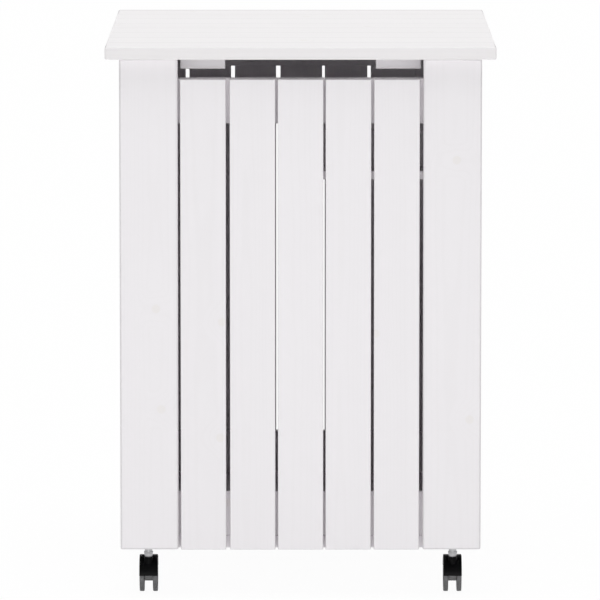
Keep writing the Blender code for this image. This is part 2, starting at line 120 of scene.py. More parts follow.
# %% A finish: one material and the nodes that feed its shader
class Finish:
    """A procedural material, or the sky. Constant values go on the shader's own sockets."""

    def __init__(self, name, constants, sky=None):
        self.material = sky or bpy.data.materials.new(name)
        self.material.use_nodes = True
        self.tree = self.material.node_tree
        self.shader = self.tree.nodes["Background" if sky else "Principled BSDF"]
        for socket, value in constants.items():
            self.shader.inputs[socket].default_value = value

    def put(self, socket, value):
        if isinstance(value, Wire):
            self.tree.links.new(value.socket, socket)
        else:
            socket.default_value = value

    def node(self, kind, settings, sockets, output=0):
        made = self.tree.nodes.new("ShaderNode" + kind)
        for setting, value in settings.items():
            setattr(made, setting, value)
        for socket, value in sockets.items():
            self.put(made.inputs[socket], value)
        return Wire(self, made.outputs[output])

    def maths(self, operation, *values):
        return self.node("Math", {"operation": operation}, dict(enumerate(values)))

    def blend(self, factor, first, second):
        """From the first colour to the second one as the factor goes from 0 to 1."""
        return self.node("Mix", {"data_type": "RGBA"}, {0: factor, 6: first, 7: second}, output=2)

    def stretched(self, vector, scale):
        return self.node("VectorMath", {"operation": "MULTIPLY"}, {0: vector, 1: scale})

    def noise(self, vector, scale=1.0, detail=2.0, roughness=0.5):
        sockets = {"Vector": vector, "Scale": scale, "Detail": detail, "Roughness": roughness}
        return self.node("TexNoise", {"noise_dimensions": "3D"}, sockets)

    def ramp(self, value, start, end):
        """0 up to the start, 1 past the end and a smooth step between them."""
        settings = {"interpolation_type": "SMOOTHSTEP", "clamp": True}
        return self.node("MapRange", settings, {"Value": value, "From Min": start, "From Max": end})

    def relief(self, height, distance):
        """Feeds a height of 0 to 1 into the shader's normal, as tall as the distance says."""
        sockets = {"Height": height, "Distance": distance, "Strength": 1.0}
        self.put(self.shader.inputs["Normal"], self.node("Bump", {}, sockets))


print("a finish can hold noise, ramps, blends and relief")

# %% [markdown]
# ## White paint over pine
#
# The boards are planed pine under thin white paint. From a step away the paint looks plain. Near
# by, three things show through it: the growth rings, which stand up a little as soft wood sinks
# between them, the brush marks along each board, and a knot here and there that the paint tints.
# An image of wood would repeat and blur. Here each board carries wood coordinates of its own, in
# an attribute called grain: along the fibres, across them and through the board, measured from the
# heart of a tree. Rings are then rings round that heart, so faces show arches and ends show arcs.
# A second attribute, arris, marks painted shade on edges: there the paint is made grey and matt.

# %% Paint the pine
TURN = 2 * math.pi
RING_WIDTH = 0.0042
RING_DRIFT, RING_SWIRL = 0.012, 0.011  # how far a ring wanders, and how far a knot bends it
KNOT_SPACING = 0.17  # between the middles of the cells that may hold a knot
KNOTLESS = 0.55  # the share of those cells that hold none
KNOT_RIM, SWIRL_RIM = (0.028, 0.045), (0.02, 0.2)  # where each fades, in shares of the spacing
DRIFT_SCALE = (2.5, 14, 14)  # noise per metre along the fibres, across them and through
FIBRE_SCALE = (18, 1400, 1400)
STROKE_SCALE = (5, 330, 330)
CLOUD_SCALE, SKIN_SCALE = 9, 700
PAINT_RELIEF = 0.00004


def painted_pine(name, colour, shade, knot_tint, edge_tint):
    """White paint, with its tones over hard late wood and a knot, and painted shade on edges."""
    paint = Finish(name, {"Specular IOR Level": 0.42, "IOR": 1.46})
    grain = paint.node("Attribute", {"attribute_name": "grain"}, {}, output="Vector")
    along = paint.node("SeparateXYZ", {}, {0: grain}, output="X")
    across = paint.node("SeparateXYZ", {}, {0: grain}, output="Y")
    through = paint.node("SeparateXYZ", {}, {0: grain}, output="Z")

    face = paint.node("CombineXYZ", {}, {"X": along, "Y": across})
    cells = {"Vector": face, "Scale": 1 / KNOT_SPACING, "Randomness": 0.9}
    distance = paint.node("TexVoronoi", {"voronoi_dimensions": "2D", "feature": "F1"}, cells)
    cell_colour = paint.node("TexVoronoi", {"voronoi_dimensions": "2D"}, cells, output="Color")
    chance = paint.node("SeparateColor", {}, {0: cell_colour}, output="Red")
    kept = paint.ramp(chance, KNOTLESS, KNOTLESS + 0.01)
    knot = (1 - paint.ramp(distance, *KNOT_RIM)) * kept
    swirl = (1 - paint.ramp(distance, *SWIRL_RIM)) * kept

    drift = paint.noise(paint.stretched(grain, DRIFT_SCALE), detail=3) - 0.5
    from_heart = paint.maths("SQRT", across * across + through * through)
    bent = from_heart + drift * RING_DRIFT + swirl * RING_SWIRL
    rings = paint.maths("SINE", bent * (TURN / RING_WIDTH))
    late_wood = paint.ramp(rings, 0.1, 0.95)

    fibres = paint.noise(paint.stretched(grain, FIBRE_SCALE), detail=3, roughness=0.6)
    strokes = paint.noise(paint.stretched(grain, STROKE_SCALE), detail=2)
    cloud = paint.noise(grain, scale=CLOUD_SCALE, detail=3)
    skin = paint.noise(grain, scale=SKIN_SCALE, detail=2)

    arris = paint.node("Attribute", {"attribute_name": "arris"}, {}, output="Fac")
    tone = paint.node("Attribute", {"attribute_name": "tone"}, {}, output="Fac")
    # the edge mark puts a little painted shade into this mix too
    tones_and_shade = late_wood * 0.18 + fibres * 0.16 + cloud * 0.34 + tone * 0.22 + arris * 0.1
    tinted = paint.blend(paint.ramp(tones_and_shade, 0.1, 0.95), colour, shade)
    knotted = paint.blend(knot * 0.5, tinted, knot_tint)
    # painted shade: marked edges are greyed towards the edge tint, as edges turned from the light
    # look
    paint.put(paint.shader.inputs["Base Color"], paint.blend(arris * 0.8, knotted, edge_tint))
    roughness = 0.36 + strokes * 0.16 + late_wood * 0.04 + arris * 0.45
    paint.put(paint.shader.inputs["Roughness"], roughness)
    height = late_wood * 0.3 + fibres * 0.25 + strokes * 0.3 + skin * 0.1 - knot * 0.2
    paint.relief(height, PAINT_RELIEF)
    return paint.material


# The edge tints are painted shade for marked edges; the top's is darker, for its outline and
# joints.
BOARD_TONES = {
    "colour": (0.868, 0.848, 0.868, 1), "shade": (0.846, 0.826, 0.842, 1),
    "knot_tint": (0.82, 0.79, 0.77, 1), "edge_tint": (0.70, 0.68, 0.695, 1),
}
TOP_TONES = {
    "colour": (0.868, 0.85, 0.857, 1), "shade": (0.846, 0.828, 0.834, 1),
    "knot_tint": (0.81, 0.78, 0.755, 1), "edge_tint": (0.48, 0.465, 0.475, 1),
}
finishes = {
    "white_paint": painted_pine("white_paint_on_pine", **BOARD_TONES),
    "tabletop_paint": painted_pine("tabletop_paint_on_pine", **TOP_TONES),
}
print("paints:", ", ".join(finishes))

# %% [markdown]
# ## Zinc, black hoods and grey treads
#
# The stems, hexagons and pivots are zinc-plated steel, which is bright, faintly cloudy and marked
# with fine scratches. The casters' hoods are glossy black moulded plastic with a fine seam down
# the middle, and the wheels are a softer dark grey. The zinc reads Object coordinates. The plastics
# read the place from the axle, kept in the grain attribute, so that seams and rings sit true.

# %% Plate the steel
ZINC_GREYS = ((0.34, 0.34, 0.35, 1), (0.50, 0.50, 0.505, 1))
SPANGLE_SCALE = 420
SCRATCH_SCALE = (5200, 5200, 260)
ZINC_RELIEF = 0.00001


def zinc_plate(name):
    """Zinc plate between two greys, cloudy and finely scratched."""
    zinc = Finish(name, {"Metallic": 1.0})
    place = zinc.node("TexCoord", {}, {}, output="Object")
    spangle = zinc.noise(place, scale=SPANGLE_SCALE, detail=3)
    scratch = zinc.noise(zinc.stretched(place, SCRATCH_SCALE), detail=1)
    zinc.put(zinc.shader.inputs["Base Color"], zinc.blend(spangle, *ZINC_GREYS))
    zinc.put(zinc.shader.inputs["Roughness"], 0.2 + spangle * 0.16 + scratch * 0.06)
    zinc.relief(scratch * 0.6 + spangle * 0.4, ZINC_RELIEF)
    return zinc.material


finishes["zinc_steel"] = zinc_plate("zinc_plated_steel")
print("plated:", finishes["zinc_steel"].name)

# %% Mould the plastics
MOULD_RING = 0.0011
TEXTURE_SCALE, HANDLING_SCALE = 2600, 110
CORE_RIM = (0.0101, 0.0104)  # where the axle's core gives way to the hood
PLASTIC_RELIEF = 0.00005


def moulded_plastic(name, dark, light, gloss, shine, seam_width, dust, core=None):
    """Plastic between a dark and a light tone. A core near the axle is grey, lightened as painted
    light.
    """
    plastic = Finish(name, {"Specular IOR Level": shine, "IOR": 1.5})
    place = plastic.node("Attribute", {"attribute_name": "grain"}, {}, output="Vector")
    side = plastic.node("SeparateXYZ", {}, {0: place}, output="X")
    behind = plastic.node("SeparateXYZ", {}, {0: place}, output="Y")
    up = plastic.node("SeparateXYZ", {}, {0: place}, output="Z")
    radius = plastic.maths("SQRT", behind * behind + up * up)
    seam = 1 - plastic.ramp(plastic.maths("ABSOLUTE", side), seam_width * 0.4, seam_width)
    mould_rings = plastic.maths("SINE", radius * (TURN / MOULD_RING))
    texture = plastic.noise(place, scale=TEXTURE_SCALE, detail=2)
    handling = plastic.noise(place, scale=HANDLING_SCALE, detail=4, roughness=0.6)
    settled = plastic.ramp(handling, 0.48, 0.72) * dust
    tone = plastic.blend(settled + texture * 0.2, dark, light)
    if core:
        # near the axle: the core's grey tones, with painted light against the roof's shadow
        near_axle = 1 - plastic.ramp(radius, *CORE_RIM)
        tone = plastic.blend(near_axle, tone, plastic.blend(settled + texture * 0.2, *core))
    plastic.put(plastic.shader.inputs["Base Color"], tone)
    plastic.put(plastic.shader.inputs["Roughness"], gloss + handling * 0.14 + texture * 0.05)
    height = texture * 0.35 + mould_rings * 0.12 + seam * 0.5 + handling * 0.1
    plastic.relief(height, PLASTIC_RELIEF)
    return plastic.material


HOOD_BLACK = ((0.0015, 0.0015, 0.0018, 1), (0.0045, 0.0045, 0.0048, 1))
TREAD_GREY = ((0.14, 0.14, 0.143, 1), (0.19, 0.19, 0.193, 1))
# painted light: the core is grey like the wheels and lighter still, against the hood roof's shadow
CORE_GREY_AND_PAINTED_LIGHT = ((0.34, 0.34, 0.343, 1), (0.42, 0.42, 0.424, 1))
finishes["caster_plastic"] = moulded_plastic(
    "black_hood_plastic", *HOOD_BLACK,
    gloss=0.2, shine=0.05, seam_width=0.00035, dust=0.5, core=CORE_GREY_AND_PAINTED_LIGHT,
)
finishes["wheel_plastic"] = moulded_plastic(
    "grey_wheel_plastic", *TREAD_GREY,
    gloss=0.42, shine=0.3, seam_width=0.0002, dust=0.7,
)
for node, thing in frame["nodes"].items():
    thing.data.materials.clear()
    thing.data.materials.append(finishes[slot_of[node]])
print("finishes:", ", ".join(finishes), "- on all", len(frame["nodes"]), "nodes")

# %% [markdown]
# ## From a bmesh to a piece of the cart
#
# Each finished piece is an object at the origin whose mesh lies where the piece is. It rides on
# the body of the solid that it stands for, and that solid is hidden. Faces are smooth over the
# rounded edges and sharp where the maker's flat face begins, which keeps flat faces flat.

# %% Finish a piece
SHARP_ANGLE = math.radians(33)


def new_shape():
    """An empty bmesh whose points can carry wood coordinates, a tone and a painted edge shade."""
    shape = bmesh.new()
    shape.verts.layers.float_vector.new("grain")
    shape.verts.layers.float.new("tone")
    shape.verts.layers.float.new("arris")
    return shape


def finish_piece(name, shape, slot, body, replaced=()):
    """Makes the bmesh an object of the cart, with its finish, body and the nodes it stands for."""
    bmesh.ops.recalc_face_normals(shape, faces=shape.faces)
    for edge in shape.edges:
        if len(edge.link_faces) == 2 and edge.calc_face_angle() > SHARP_ANGLE:
            edge.smooth = False
    for face in shape.faces:
        face.smooth = True
    mesh = bpy.data.meshes.new(name)
    shape.to_mesh(mesh)
    shape.free()
    mesh.materials.append(finishes[slot])
    thing = bpy.data.objects.new(name, mesh)
    bpy.context.scene.collection.objects.link(thing)
    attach(thing, body)
    if replaced:
        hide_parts(*replaced)


def stand_in(node, shape):
    """A piece for one node, on the node's own body and in its own slot."""
    finish_piece(node + "_shaped", shape, slot_of[node], body_of[node], (node,))


print("edges sharper than", round(math.degrees(SHARP_ANGLE)), "degrees stay sharp")

# %% [markdown]
# ## A planed board with its edges sanded round
#
# Every board was planed square, and a sander took its edges down to a radius of about 1 mm. That
# arris catches the light as a fine grey line beside each slat, and it is most of what the eye
# reads in this white cart. A box and the bevel operator make it. A texture couldn't, because the
# line is a change of shape and has to turn with the light. The edges get a little painted shade
# too.

# %% Round a box's edges
ARRIS = 0.001
FINE_ARRIS = 0.0007
ARRIS_STEPS, FINE_STEPS = 5, 2
PAST = 1.01  # times a radius, this takes in the points that lie where the rounding ends
HAIR, WELD = 0.00001, 0.000001  # points this near a plane lie on it; points this near are one
SLIGHT_EDGE_SHADE = 0.15  # of 1, the painted shade that most rounded edges get
CORNER_ANGLE, HEX_ANGLE, HOOD_ANGLE = (math.radians(angle) for angle in (60, 40, 70))


def round_edges(shape, edges, radius, steps=ARRIS_STEPS, wear=SLIGHT_EDGE_SHADE):
    """Rounds the edges, keeps flat faces flat beside them and marks their painted shade."""
    made = bmesh.ops.bevel(
        shape, geom=edges, offset=radius, offset_type="OFFSET", segments=steps,
        profile=0.5, affect="EDGES", material=-1, clamp_overlap=True,
    )
    rounded = set(made["faces"])
    mark = shape.verts.layers.float["arris"]
    for point in made["verts"]:
        if all(face in rounded for face in point.link_faces):
            point[mark] = wear
    for face in rounded:
        for edge in face.edges:
            if any(other not in rounded for other in edge.link_faces):
                edge.smooth = False


def in_order(items):
    """Each item once, in order. The order of a set would change from run to run."""
    return list(dict.fromkeys(items))


def square_edges(points, limit=CORNER_ANGLE):
    """The convex edges among the points that are sharper than the limit."""
    edges = in_order(edge for point in points for edge in point.link_edges)
    return [edge for edge in edges if edge.is_convex and edge.calc_face_angle() > limit]


def box_between(shape, low, high):
    """A plain box between two corners. Returns its points."""
    points = bmesh.ops.create_cube(shape, size=1.0)["verts"]
    bmesh.ops.scale(shape, vec=high - low, verts=points)
    bmesh.ops.translate(shape, vec=(low + high) / 2, verts=points)
    return points


print("edges are rounded to", ARRIS * 1000, "mm in", ARRIS_STEPS, "steps")

# %% Lay the wood in a board
tree = random.Random(7)


def lay_wood(shape, points, low, high):
    """Fibres along the longest side, and a heart that lies off the board by a chance of the saw."""
    size = high - low
    through, across, along = sorted(range(3), key=lambda axis: size[axis])
    middle = (low + high) / 2
    start = Vector((tree.uniform(0, 9), tree.uniform(-0.03, 0.03), tree.uniform(0.025, 0.07)))
    tone = tree.uniform(0, 1)
    grain_layer = shape.verts.layers.float_vector["grain"]
    tone_layer = shape.verts.layers.float["tone"]
    for point in points:
        offset = point.co - middle
        point[grain_layer] = start + Vector((offset[along], offset[across], offset[through]))
        point[tone_layer] = tone


def scale_edge_shade(shape, points, share):
    """Multiplies the painted edge shade of the points by a share, up to a full shade of 1."""
    mark = shape.verts.layers.float["arris"]
    for point in points:
        point[mark] = min(point[mark] * share, 1)


def board_shape(low, high, radius):
    """A whole board as a bmesh: a box, rounded, with wood laid in it."""
    shape = new_shape()
    round_edges(shape, square_edges(box_between(shape, low, high)), radius)
    lay_wood(shape, shape.verts, low, high)
    return shape


print("every board gets wood of its own, and edges between unshaded (0) and shaded (1)")

# %% [markdown]
# ## The slats, rails, battens and drawer boards
#
# These are plain boards, so one loop makes them all from the boxes of the solids. The drawer's
# thin boards get a smaller radius than the 18 mm ones, as a lighter sanding gives them. The lower
# ends of the slats get full painted shade, for the darker look of edges that face down.

# %% Make every plain board
PLAIN_WORDS = (
    "slat", "rail", "cleat", "batten",
    "drawer_front", "drawer_side", "drawer_back", "drawer_bottom",
)
THIN_SHARE = 1 / 8  # of a thin board's thickness, the most that its edges are rounded
plain_boards = [
    node for node in sorted(frame["nodes"]) if any(word in node for word in PLAIN_WORDS)
]
# How far, in mm, the low and high corners of some rear boards are from the solids'. The daylight
# between the slats shows it: five wide gaps, and the last slat meets its post.
OFF_SIZE = {
    "rear_slat_1": ((1.6, 0, 0), (0, 0, 0)),
    "rear_slat_2": ((1.8, 0, 0), (-0.6, 0, 0)),
    "rear_slat_3": ((1.9, 0, 0), (0.4, 0, 0)),
    "rear_slat_4": ((0.4, 0, 0), (0.2, 0, 0)),
    "rear_slat_5": ((1.3, 0, 0), (3.9, 0, 0)),
    "rear_top_rail": ((0, 0, 1.6), (0, 0, 0)),
}
for node in plain_boards:
    low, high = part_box(node)
    if node in OFF_SIZE:
        low_shift, high_shift = OFF_SIZE[node]
        low, high = low + Vector(low_shift) / 1000, high + Vector(high_shift) / 1000
    board = board_shape(low, high, min(ARRIS, min(high - low) * THIN_SHARE))
    # painted shade along the slats' feet
    if "slat" in node:
        foot = [point for point in board.verts if point.co.z < low.z + ARRIS * PAST]
        scale_edge_shade(board, foot, 1 / SLIGHT_EDGE_SHADE)
    stand_in(node, board)
print(len(plain_boards), "plain boards with edges rounded to", ARRIS * 1000, "mm")

# %% [markdown]
# ## The tabletop of eight planks
#
# The top is glued up from eight planks that run from side to side. Their long edges are eased
# before gluing, which leaves a fine V along every joint, and the top's outer edge is rounded more.
# It could be one slab with lines cut in. Separate closed planks are closer to the real top: each
# has wood of its own, and the joints show on the ends too. The joints and outer edges get grey
# painted shade, the front edge only a little. The last plank is cut once more along its length,
# only so that a band of painted shade can begin there and grow towards the rear edge.

# %% Glue up the tabletop
PLANKS = 8
JOINT_ARRIS, JOINT_STEPS = 0.001, 3
TOP_ARRIS = 0.0025
SIDE_DEPTH = 0.0001  # a point less deep than this is on one of the top's four sides
SIDE_EDGE_SHADE = 0.06  # a little painted shade on all four sides of the top
FRONT_EDGE_SHADE = 0.05  # the front edge keeps only this share of its painted shade
REAR_EDGE_SHADE, REAR_SHADE_BAND = 0.8, 0.014  # painted shade at the rear edge, and the width of the band where it begins


def made_since(shape, before):
    """The points of a bmesh that weren't among those of before."""
    return [point for point in shape.verts if point not in before]


top_low, top_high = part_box("tabletop")
plank_width = (top_high.y - top_low.y) / PLANKS
top_shape = new_shape()
edge_shade_layer = top_shape.verts.layers.float["arris"]
for number in range(PLANKS):
    low = Vector((top_low.x, top_low.y + number * plank_width, top_low.z))
    high = Vector((top_high.x, low.y + plank_width, top_high.z))
    before = set(top_shape.verts)
    box_between(top_shape, low, high)
    outer = []
    for edge in square_edges(made_since(top_shape, before)):
        middle = (edge.verts[0].co + edge.verts[1].co) / 2
        on_end = min(abs(middle.x - top_low.x), abs(middle.x - top_high.x)) < FINE_ARRIS
        on_side = min(abs(middle.y - top_low.y), abs(middle.y - top_high.y)) < FINE_ARRIS
        at_joint = abs(edge.verts[0].co.z - edge.verts[1].co.z) > FINE_ARRIS and not on_side
        if (on_end or on_side) and not at_joint:
            outer.append(edge)
    # the outer edges and the joints take full painted shade
    round_edges(top_shape, outer, TOP_ARRIS, wear=1.0)
    joints = square_edges(made_since(top_shape, before))
    round_edges(top_shape, joints, JOINT_ARRIS, JOINT_STEPS, wear=1.0)
    points = made_since(top_shape, before)
    lay_wood(top_shape, points, low, high)
    if number == PLANKS - 1:
        plank_edges = in_order(edge for point in points for edge in point.link_edges)
        plank_faces = in_order(face for point in points for face in point.link_faces)
        bmesh.ops.bisect_plane(
            top_shape, geom=points + plank_edges + plank_faces,
            plane_co=(0, top_high.y - REAR_SHADE_BAND, 0), plane_no=(0, 1, 0),
        )
        points = made_since(top_shape, before)
        # painted shade: a darker band along the rear edge of the top
        for point in points:
            near_rear = point.co.y > top_high.y - REAR_SHADE_BAND / 2
            if near_rear and abs(point.co.z - top_high.z) < HAIR:
                point[edge_shade_layer] = REAR_EDGE_SHADE
    # painted shade: little on the front edge, at least a trace on the four sides
    for point in points:
        if point.co.y < top_low.y + TOP_ARRIS:
            point[edge_shade_layer] *= FRONT_EDGE_SHADE
        inside = (*(point.co.xy - top_low.xy), *(top_high.xy - point.co.xy))
        if min(inside) < SIDE_DEPTH:
            point[edge_shade_layer] = max(point[edge_shade_layer], SIDE_EDGE_SHADE)
stand_in("tabletop", top_shape)
print(PLANKS, "planks,", round(plank_width * 1000, 1), "mm wide each")

# %% [markdown]
# ## The corner posts
#
# A post is two boards glued into an L. The one on the end face is full width and the other butts
# against its back, so the end shows one clean board and the long side shows a glue line 18 mm from
# the corner. An L-shaped outline, extruded, would be quicker, but it would lose that line and
# run the wood round the corner. The outer edges get grey painted shade, and those beside a slat
# get only a little.

# %% Build the posts
BOARD = 0.018
POST_ARRIS = 0.0027


def all_near(edge, axis, value):
    """Whether both ends of an edge lie near a value along an axis."""
    return all(abs(point.co[axis] - value) < FINE_ARRIS for point in edge.verts)


for end, toward_end in (("front", -1), ("rear", 1)):
    for side, toward_side in (("left", -1), ("right", 1)):
        node = f"corner_post_{end}_{side}"
        low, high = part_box(node)
        post = new_shape()
        outer_y = low.y if toward_end < 0 else high.y
        seam_y = outer_y - toward_end * BOARD
        outer_x = low.x if toward_side < 0 else high.x
        inner_x = outer_x - toward_side * BOARD
        inner_y = high.y if toward_end < 0 else low.y
        leaves = (((low.x, outer_y), (high.x, seam_y)), ((outer_x, seam_y), (inner_x, inner_y)))
        for start, finish in leaves:
            leaf_low = Vector((min(start[0], finish[0]), min(start[1], finish[1]), low.z))
            leaf_high = Vector((max(start[0], finish[0]), max(start[1], finish[1]), high.z))
            before = set(post.verts)
            box_between(post, leaf_low, leaf_high)
            edges = square_edges(made_since(post, before))
            butting = [edge for edge in edges if all_near(edge, 1, seam_y)]
            if start[1] != seam_y:
                butting = [edge for edge in butting if all_near(edge, 0, outer_x)]
            outer = [edge for edge in edges if edge not in butting]
            round_edges(post, outer, POST_ARRIS, wear=1.0)
            at_seam = [p for p in made_since(post, before) if abs(p.co.y - seam_y) < FINE_ARRIS]
            round_edges(post, square_edges(at_seam), FINE_ARRIS / 2, FINE_STEPS)
            lay_wood(post, made_since(post, before), leaf_low, leaf_high)
        # painted shade: full on the outer edges, only a little beside the slats
        slat_side = high.x if toward_side < 0 else low.x
        reach = POST_ARRIS * PAST
        beside_slat = [
            point for point in post.verts
            if abs(point.co.x - slat_side) < reach and point.co.z > low.z + reach
        ]
        scale_edge_shade(post, beside_slat, SLIGHT_EDGE_SHADE)
        stand_in(node, post)
print("4 corner posts of two boards each")

# %% [markdown]
# ## The bottom board and the drawer's shelf
#
# The bottom board has a notch in one corner that the door's edge turns in, and the shelf has a
# shallow channel that the drawer runs in. Both are an outline of a few points, filled and
# extruded, and then rounded along their outer edges only. The outline's edges are made before its
# face: a face filled from points alone may run straight across a hollow corner and close it.

# %% Extrude an outline
def outline_solid(shape, outline, start, end, axis):
    """Fills an outline on one axis's plane and extrudes it along the axis."""
    points = []
    for place in outline:
        place = list(place)
        place.insert(axis, start)
        points.append(shape.verts.new(place))
    edges = [shape.edges.new(pair) for pair in zip(points, points[1:] + points[:1])]
    face = bmesh.ops.contextual_create(shape, geom=edges)["faces"]
    grown = bmesh.ops.extrude_face_region(shape, geom=face)["geom"]
    step = Vector((0, 0, 0))
    step[axis] = end - start
    far_side = [item for item in grown if isinstance(item, bmesh.types.BMVert)]
    bmesh.ops.translate(shape, vec=step, verts=far_side)
    bmesh.ops.recalc_face_normals(shape, faces=shape.faces)


def outline_board(outline, axis, radius, low, high):
    """A board between two corners with a cut in its outline, rounded, with wood laid in it."""
    shape = new_shape()
    outline_solid(shape, outline, low[axis], high[axis], axis)
    round_edges(shape, square_edges(shape.verts), radius)
    lay_wood(shape, shape.verts, low, high)
    return shape


NOTCH_SIZE = Vector((0.0064, 0.0976))
low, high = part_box("bottom_board")
notch = high.xy - NOTCH_SIZE
notched = [(low.x, low.y), (high.x, low.y), (high.x, notch.y)]
notched += [(notch.x, notch.y), (notch.x, high.y), (low.x, high.y)]
stand_in("bottom_board", outline_board(notched, 2, ARRIS, low, high))

CHANNEL_HALF, CHANNEL_DEPTH = 0.2416, 0.003
low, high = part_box("drawer_shelf")
floor_level = high.z - CHANNEL_DEPTH
channelled = [(low.y, low.z), (high.y, low.z), (high.y, high.z), (CHANNEL_HALF, high.z)]
channelled += [(CHANNEL_HALF, floor_level), (-CHANNEL_HALF, floor_level)]
channelled += [(-CHANNEL_HALF, high.z), (low.y, high.z)]
stand_in("drawer_shelf", outline_board(channelled, 0, ARRIS / 2, low, high))
print("bottom board notched at", [round(value, 4) for value in notch])
print("shelf channelled", CHANNEL_DEPTH * 1000, "mm deep")

# %% [markdown]
# ## Round parts are turned
#
# Stems, wheels, pins and screw heads are all turned parts: a line of radius and height pairs spun
# about an axis. The spin operator does what the lathe does. Points on the axis come out once for
# each step, so doubles are merged, which closes the poles.

# %% Turn a profile
def turned(shape, profile, steps, place=Matrix()):
    """Spins radius and height pairs about Z, closes the poles and moves the result to its place."""
    before = set(shape.verts)
    points = [shape.verts.new((radius, 0, height)) for radius, height in profile]
    edges = [shape.edges.new(pair) for pair in zip(points, points[1:])]
    bmesh.ops.spin(
        shape, geom=points + edges, cent=(0, 0, 0), axis=(0, 0, 1), angle=TURN, steps=steps,
        use_merge=True,
    )
    bmesh.ops.remove_doubles(shape, verts=made_since(shape, before), dist=WELD)
    made = made_since(shape, before)
    bmesh.ops.transform(shape, matrix=place, verts=made)
    return made


def curve_points(centre, radius, start, end, steps):
    """Points of an arc in a profile, as radius and height pairs, from one angle to another."""
    angles = [math.radians(start + (end - start) * i / steps) for i in range(steps + 1)]
    return [(centre[0] + radius * math.cos(a), centre[1] + radius * math.sin(a)) for a in angles]


print("turned points nearer than", WELD * 1000, "mm are merged")

# %% [markdown]
# ## The caster stems
#
# What shows of a stem between the cabinet and the hood is a round collar, a hexagon for the
# spanner and a domed seat that narrows on to the hood's boss. The rest is hidden in the bottom
# board and in the boss, with a thread that nobody sees, so it stays a plain rod there.

# %% Turn the stems
TOUCH = 0.0003  # between pieces that touch
COLLAR_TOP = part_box("bottom_board")[0].z - TOUCH
COLLAR_RADIUS, COLLAR_HEIGHT = 0.0055, 0.0084
HEX_TOP = COLLAR_TOP - COLLAR_HEIGHT
HEX_HEIGHT, HEX_FLATS = 0.0025, 0.013
HEX_FOOT = HEX_TOP - HEX_HEIGHT
SEAT_HEIGHT, SEAT_RADIUS, SEAT_FOOT_RADIUS = 0.0055, 0.0062, 0.0046
SEAT_FOOT = HEX_FOOT - SEAT_HEIGHT
SEAT_STEPS, STEM_STEPS, HEX_STEPS = 8, 32, 3
ROD_RADIUS = 0.004
EASE = 0.0005  # the bevel that turned edges get


def stem_shape(axis_x, axis_y, low, high):
    """A stem from its foot in the hood to its top in the bottom board."""
    shape = new_shape()
    place = Matrix.Translation((axis_x, axis_y, 0))
    rod = [(0, high), (ROD_RADIUS - 2 * EASE, high)]
    rod += [(ROD_RADIUS, high - 2 * EASE), (ROD_RADIUS, COLLAR_TOP)]
    collar = [(COLLAR_RADIUS - EASE, COLLAR_TOP), (COLLAR_RADIUS, COLLAR_TOP - EASE)]
    collar += [(COLLAR_RADIUS, HEX_FOOT)]
    seat = [(SEAT_RADIUS, HEX_FOOT)]
    for step in range(SEAT_STEPS + 1):
        angle = step * math.pi / (2 * SEAT_STEPS)
        across = SEAT_FOOT_RADIUS + (SEAT_RADIUS - SEAT_FOOT_RADIUS) * math.cos(angle)
        seat.append((across, HEX_FOOT - EASE - (HEX_FOOT - EASE - SEAT_FOOT) * math.sin(angle)))
    foot = [(ROD_RADIUS, SEAT_FOOT), (ROD_RADIUS, low + 2 * EASE)]
    foot += [(ROD_RADIUS - 2 * EASE, low), (0, low)]
    turned(shape, rod + collar + seat + foot, STEM_STEPS, place)

    level = Matrix.Translation((axis_x, axis_y, (HEX_TOP + HEX_FOOT) / 2))
    corner = HEX_FLATS / math.sqrt(3)
    hexagon = bmesh.ops.create_cone(
        shape, cap_ends=True, segments=6, radius1=corner, radius2=corner, depth=HEX_TOP - HEX_FOOT,
        matrix=level,
    )["verts"]
    round_edges(shape, square_edges(hexagon, HEX_ANGLE), EASE, HEX_STEPS)
    return shape


stem_axes = {}
for node in sorted(frame["nodes"]):
    if node.startswith("caster_stem"):
        low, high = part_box(node)
        middle = (low + high) / 2
        stem_axes[node.replace("caster_stem_", "")] = middle
        stand_in(node, stem_shape(middle.x, middle.y, low.z, high.z))
print("4 stems with", HEX_FLATS * 1000, "mm hexagons")

# %% [markdown]
# ## The caster hoods
#
# A hood is one black moulding: a roof over both wheels, a web between them, a round core that
# holds the axle, and a boss for the stem. Seen from the side it is a sector of a disc. So a
# T-shaped section is spun over the top of the axle, and where the roof ends only the section's
# foot is spun on, round underneath, until it meets the start.

# %% Spin a hood
hood_low, hood_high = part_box("caster_hood_front_right")
wheel_low, wheel_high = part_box("caster_wheels_front_right")
AXLE_BEHIND = (wheel_low.y + wheel_high.y) / 2 - stem_axes["front_right"].y
AXLE_HEIGHT = (wheel_low.z + wheel_high.z) / 2
ROOF_RADIUS, ROOF_THICK = hood_high.z - AXLE_HEIGHT, 0.0025
ROOF_INSIDE = ROOF_RADIUS - ROOF_THICK
HALF_WIDTH = (hood_high.x - hood_low.x) / 2
WEB_HALF, CORE_RADIUS, AXLE_BORE = 0.00595, 0.010, 0.0033
ROOF_START, ROOF_END = math.radians(20), math.radians(177)
ROOF_STEPS, CORE_STEPS, BOSS_STEPS = 36, 40, 40
BOSS_RADIUS, BOSS_TOP, BOSS_FOOT = 0.0065, SEAT_FOOT - TOUCH, 0.038
BOSS_EASE, BOSS_EASE_STEPS = 2 * EASE, 4
ROOF_ARRIS = 0.0012


def axle_of(axis):
    """The middle of a caster's axle, which trails behind the stem's axis."""
    return Vector((axis.x, axis.y + AXLE_BEHIND, AXLE_HEIGHT))


